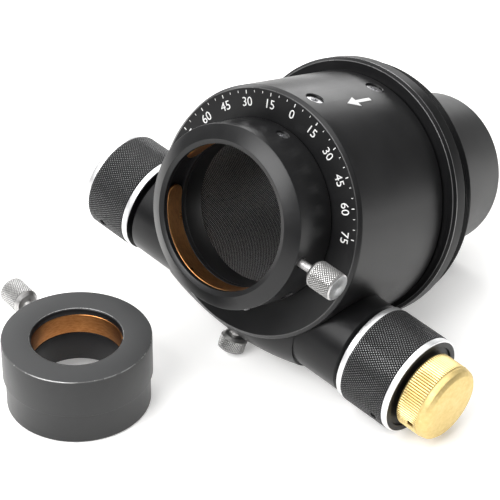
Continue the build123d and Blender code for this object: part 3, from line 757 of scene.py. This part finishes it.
# ------------------------------------------------------------------ printed marks: a plain degree ring on the drum's face, an arrow on top
def marks():
    verts, faces = [], []

    def quad(pts):
        i = len(verts)
        verts.extend(pts)
        m = len(pts)
        for a, b, c, d in [(i, i + 1, i + 2, i + 3)]:
            faces.append((a, b, c, d))

    y = 19.86
    for d in range(-75, 80, 5):
        t = math.radians(d)
        big = d % 15 == 0
        r0, r1, w = (40.3 if big else 40.75), 41.5, (0.16 if big else 0.10)
        n = Vector((math.sin(t), 0, math.cos(t))); s = Vector((math.cos(t), 0, -math.sin(t)))
        a = [n * r0 - s * w, n * r0 + s * w, n * r1 + s * w, n * r1 - s * w]
        i = len(verts)
        verts.extend([(p.x, y, p.z) for p in a] + [(p.x, y + 0.08, p.z) for p in a])
        faces.extend([(i, i + 1, i + 2, i + 3), (i + 7, i + 6, i + 5, i + 4), (i, i + 4, i + 5, i + 1), (i + 1, i + 5, i + 6, i + 2), (i + 2, i + 6, i + 7, i + 3), (i + 3, i + 7, i + 4, i)])
    return make("degree_ticks", verts, faces, [PRINT], None, OPT, 30)


piece(marks(), "housing", "black_anodised")
for d in range(-75, 90, 15):
    cu = bpy.data.curves.new("numeral", "FONT")
    cu.body = str(abs(d))
    cu.size = 4.5 * MM
    cu.extrude = 0.03 * MM
    cu.align_x = "CENTER"; cu.align_y = "CENTER"
    cu.resolution_u = 4
    ob = bpy.data.objects.new("numeral_tmp", cu)
    bpy.context.scene.collection.objects.link(ob)
    bpy.context.view_layer.update()
    me = bpy.data.meshes.new_from_object(ob.evaluated_get(bpy.context.evaluated_depsgraph_get()))
    bpy.data.objects.remove(ob)
    t = math.radians(d)
    # text lies on the face: its up is outward, it is read from the front
    up = Vector((math.sin(t), 0, math.cos(t))); nrm = Vector((0, -1, 0)); rt = up.cross(nrm)
    m = Matrix((rt, up, nrm)).transposed().to_4x4()
    me.transform(Matrix.Translation((up.x * 37.4 * MM, 19.88 * MM, up.z * 37.4 * MM)) @ m)
    me.materials.clear(); me.materials.append(PRINT)
    n_ob = bpy.data.objects.new(f"numeral_{d % 360}", me)
    bpy.context.scene.collection.objects.link(n_ob)
    me.transform(OPT)
    local_of[n_ob.name] = OPT
    piece(n_ob, "housing", "black_anodised")

arrow = []
for x, y in ((-0.7, 54.0), (0.7, 54.0), (0.7, 46.0), (2.5, 46.0), (0.0, 40.5), (-2.5, 46.0), (-0.7, 46.0)):
    t = math.radians(9.0) + x / 43.4
    arrow.append((y, t))
av = [(r * math.sin(t), y, r * math.cos(t)) for r in (43.30, 43.55) for y, t in arrow]
na = len(arrow)
af = [(na + 0, na + 1, na + 2, na + 6), (na + 2, na + 3, na + 4), (na + 2, na + 4, na + 6), (na + 4, na + 5, na + 6), (6, 2, 1, 0), (4, 3, 2), (6, 4, 2), (6, 5, 4)]
af += [(q, (q + 1) % na, na + (q + 1) % na, na + q) for q in range(na)]
piece(make("travel_arrow", av, af, [PRINT], None, OPT, 30), "housing", "black_anodised")

# ------------------------------------------------------------------ materials on the CAD nodes that stay
look = {"cross_housing": CAD_BLACK, "bearing_carrier_front": CAD_INNER, "bearing_carrier_rear": CAD_INNER, "shaft_cradle": CAD_INNER,
        "drive_shaft": STEEL, "drive_strip": STEEL, "bearing_front_left": STEEL, "bearing_front_right": STEEL, "bearing_rear_left": STEEL, "bearing_rear_right": STEEL,
        "bearing_pins": STEEL, "reducer_race": STEEL, "reducer_balls": STEEL, "fine_spindle": STEEL, "ball_cage": BRONZE, "shaft_bushes": BRONZE}
replaced = {"eyepiece_holder", "holder_brass_band", "holder_thumbscrew", "lock_thumbscrew", "drawtube", "drum_housing", "rear_flange", "right_coarse_knob",
            "left_coarse_knob", "fine_knob", "adapter_body", "adapter_brass_band", "adapter_thumbscrew"}
for name, ob in frame["nodes"].items():
    if name in replaced:
        continue
    mat = look.get(name, SCREW)
    ob.data.materials.clear()
    ob.data.materials.append(mat)

# ------------------------------------------------------------------ stage, light, camera
me = bpy.data.meshes.new("floor")
S = 6.0
me.from_pydata([(-S, -S, 0), (S, -S, 0), (S, S, 0), (-S, S, 0)], [], [(0, 1, 2, 3)])
floor = bpy.data.objects.new("floor", me)
bpy.context.scene.collection.objects.link(floor)
# the floor glows near the object, painted light that lifts its shadows, and its colour darkens with distance, painted
# falloff
fm, nt, b = nodes_of("pale_floor_painted_glow_and_falloff")
b.inputs["Roughness"].default_value = 0.75
b.inputs["Specular IOR Level"].default_value = 0.15
b.inputs["Emission Color"].default_value = (1.0, 0.995, 0.985, 1)
tc = nt.nodes.new("ShaderNodeTexCoord")
far = nt.nodes.new("ShaderNodeVectorMath"); far.operation = "LENGTH"
nt.links.new(tc.outputs["Object"], far.inputs[0])
nt.links.new(ramp(nt, far.outputs["Value"], [(0.32, (0.90, 0.895, 0.885)), (0.80, (0.52, 0.52, 0.52))]), b.inputs["Base Color"])
glow = nt.nodes.new("ShaderNodeMapRange")
for k_, v_ in (("From Min", 0.30), ("From Max", 0.75), ("To Min", 0.30), ("To Max", 0.06)):
    glow.inputs[k_].default_value = v_
nt.links.new(far.outputs["Value"], glow.inputs["Value"])
nt.links.new(glow.outputs["Result"], b.inputs["Emission Strength"])
me.materials.append(fm)
floor.location = (0, 0, -0.00002)

world = bpy.data.worlds.new("studio")
bpy.context.scene.world = world
world.use_nodes = True
world.node_tree.nodes["Background"].inputs["Color"].default_value = (1.0, 1.0, 1.0, 1)
world.node_tree.nodes["Background"].inputs["Strength"].default_value = 0.25


def area(name, loc, target, sx, sy, power, color=(1, 1, 1)):
    d = bpy.data.lights.new(name, "AREA")
    d.shape = "RECTANGLE"; d.size = sx; d.size_y = sy; d.energy = power; d.color = color
    ob = bpy.data.objects.new(name, d)
    bpy.context.scene.collection.objects.link(ob)
    ob.location = loc
    ob.rotation_euler = (Vector(target) - Vector(loc)).to_track_quat("-Z", "Y").to_euler()
    ob.visible_camera = False
    return ob


area("key_box", (-0.08, -0.88, 0.87), (0, 0, 0.06), 0.85, 0.75, 15.0)
area("back_left_box", (-1.10, 0.42, 0.62), (0, 0, 0.06), 0.7, 0.45, 6.0)
area("back_box", (-0.55, 1.20, 0.34), (0, 0, 0.08), 0.6, 0.35, 2.5)
area("top_box", (-0.05, 0.10, 1.25), (0, 0, 0.04), 1.2, 1.1, 6.0)
sun = bpy.data.lights.new("sky_soft", "SUN"); sun.energy = 1.5; sun.angle = math.radians(80)
so = bpy.data.objects.new("sky_soft", sun); bpy.context.scene.collection.objects.link(so)
so.rotation_euler = Vector((0.25, -0.1, -1.0)).to_track_quat("-Z", "Y").to_euler()

cam_d = bpy.data.cameras.new("camera")
cam = bpy.data.objects.new("camera", cam_d)
bpy.context.scene.collection.objects.link(cam)
bpy.context.scene.camera = cam
rgt = Vector((0.76, 0.64989, 0.00693)).normalized()
fwd = Vector((-0.53059, 0.62658, -0.57085)).normalized()
up = rgt.cross(fwd).normalized()
rgt = fwd.cross(up).normalized()
cam.matrix_world = Matrix.Translation((0.41440, -0.51011, 0.49665)) @ Matrix((rgt, up, -fwd)).transposed().to_4x4()
cam_d.sensor_width = 36.0
cam_d.lens = 162.01
cam_d.clip_start = 0.01
cam_d.clip_end = 30.0
bpy.context.scene.view_settings.view_transform = "Standard"
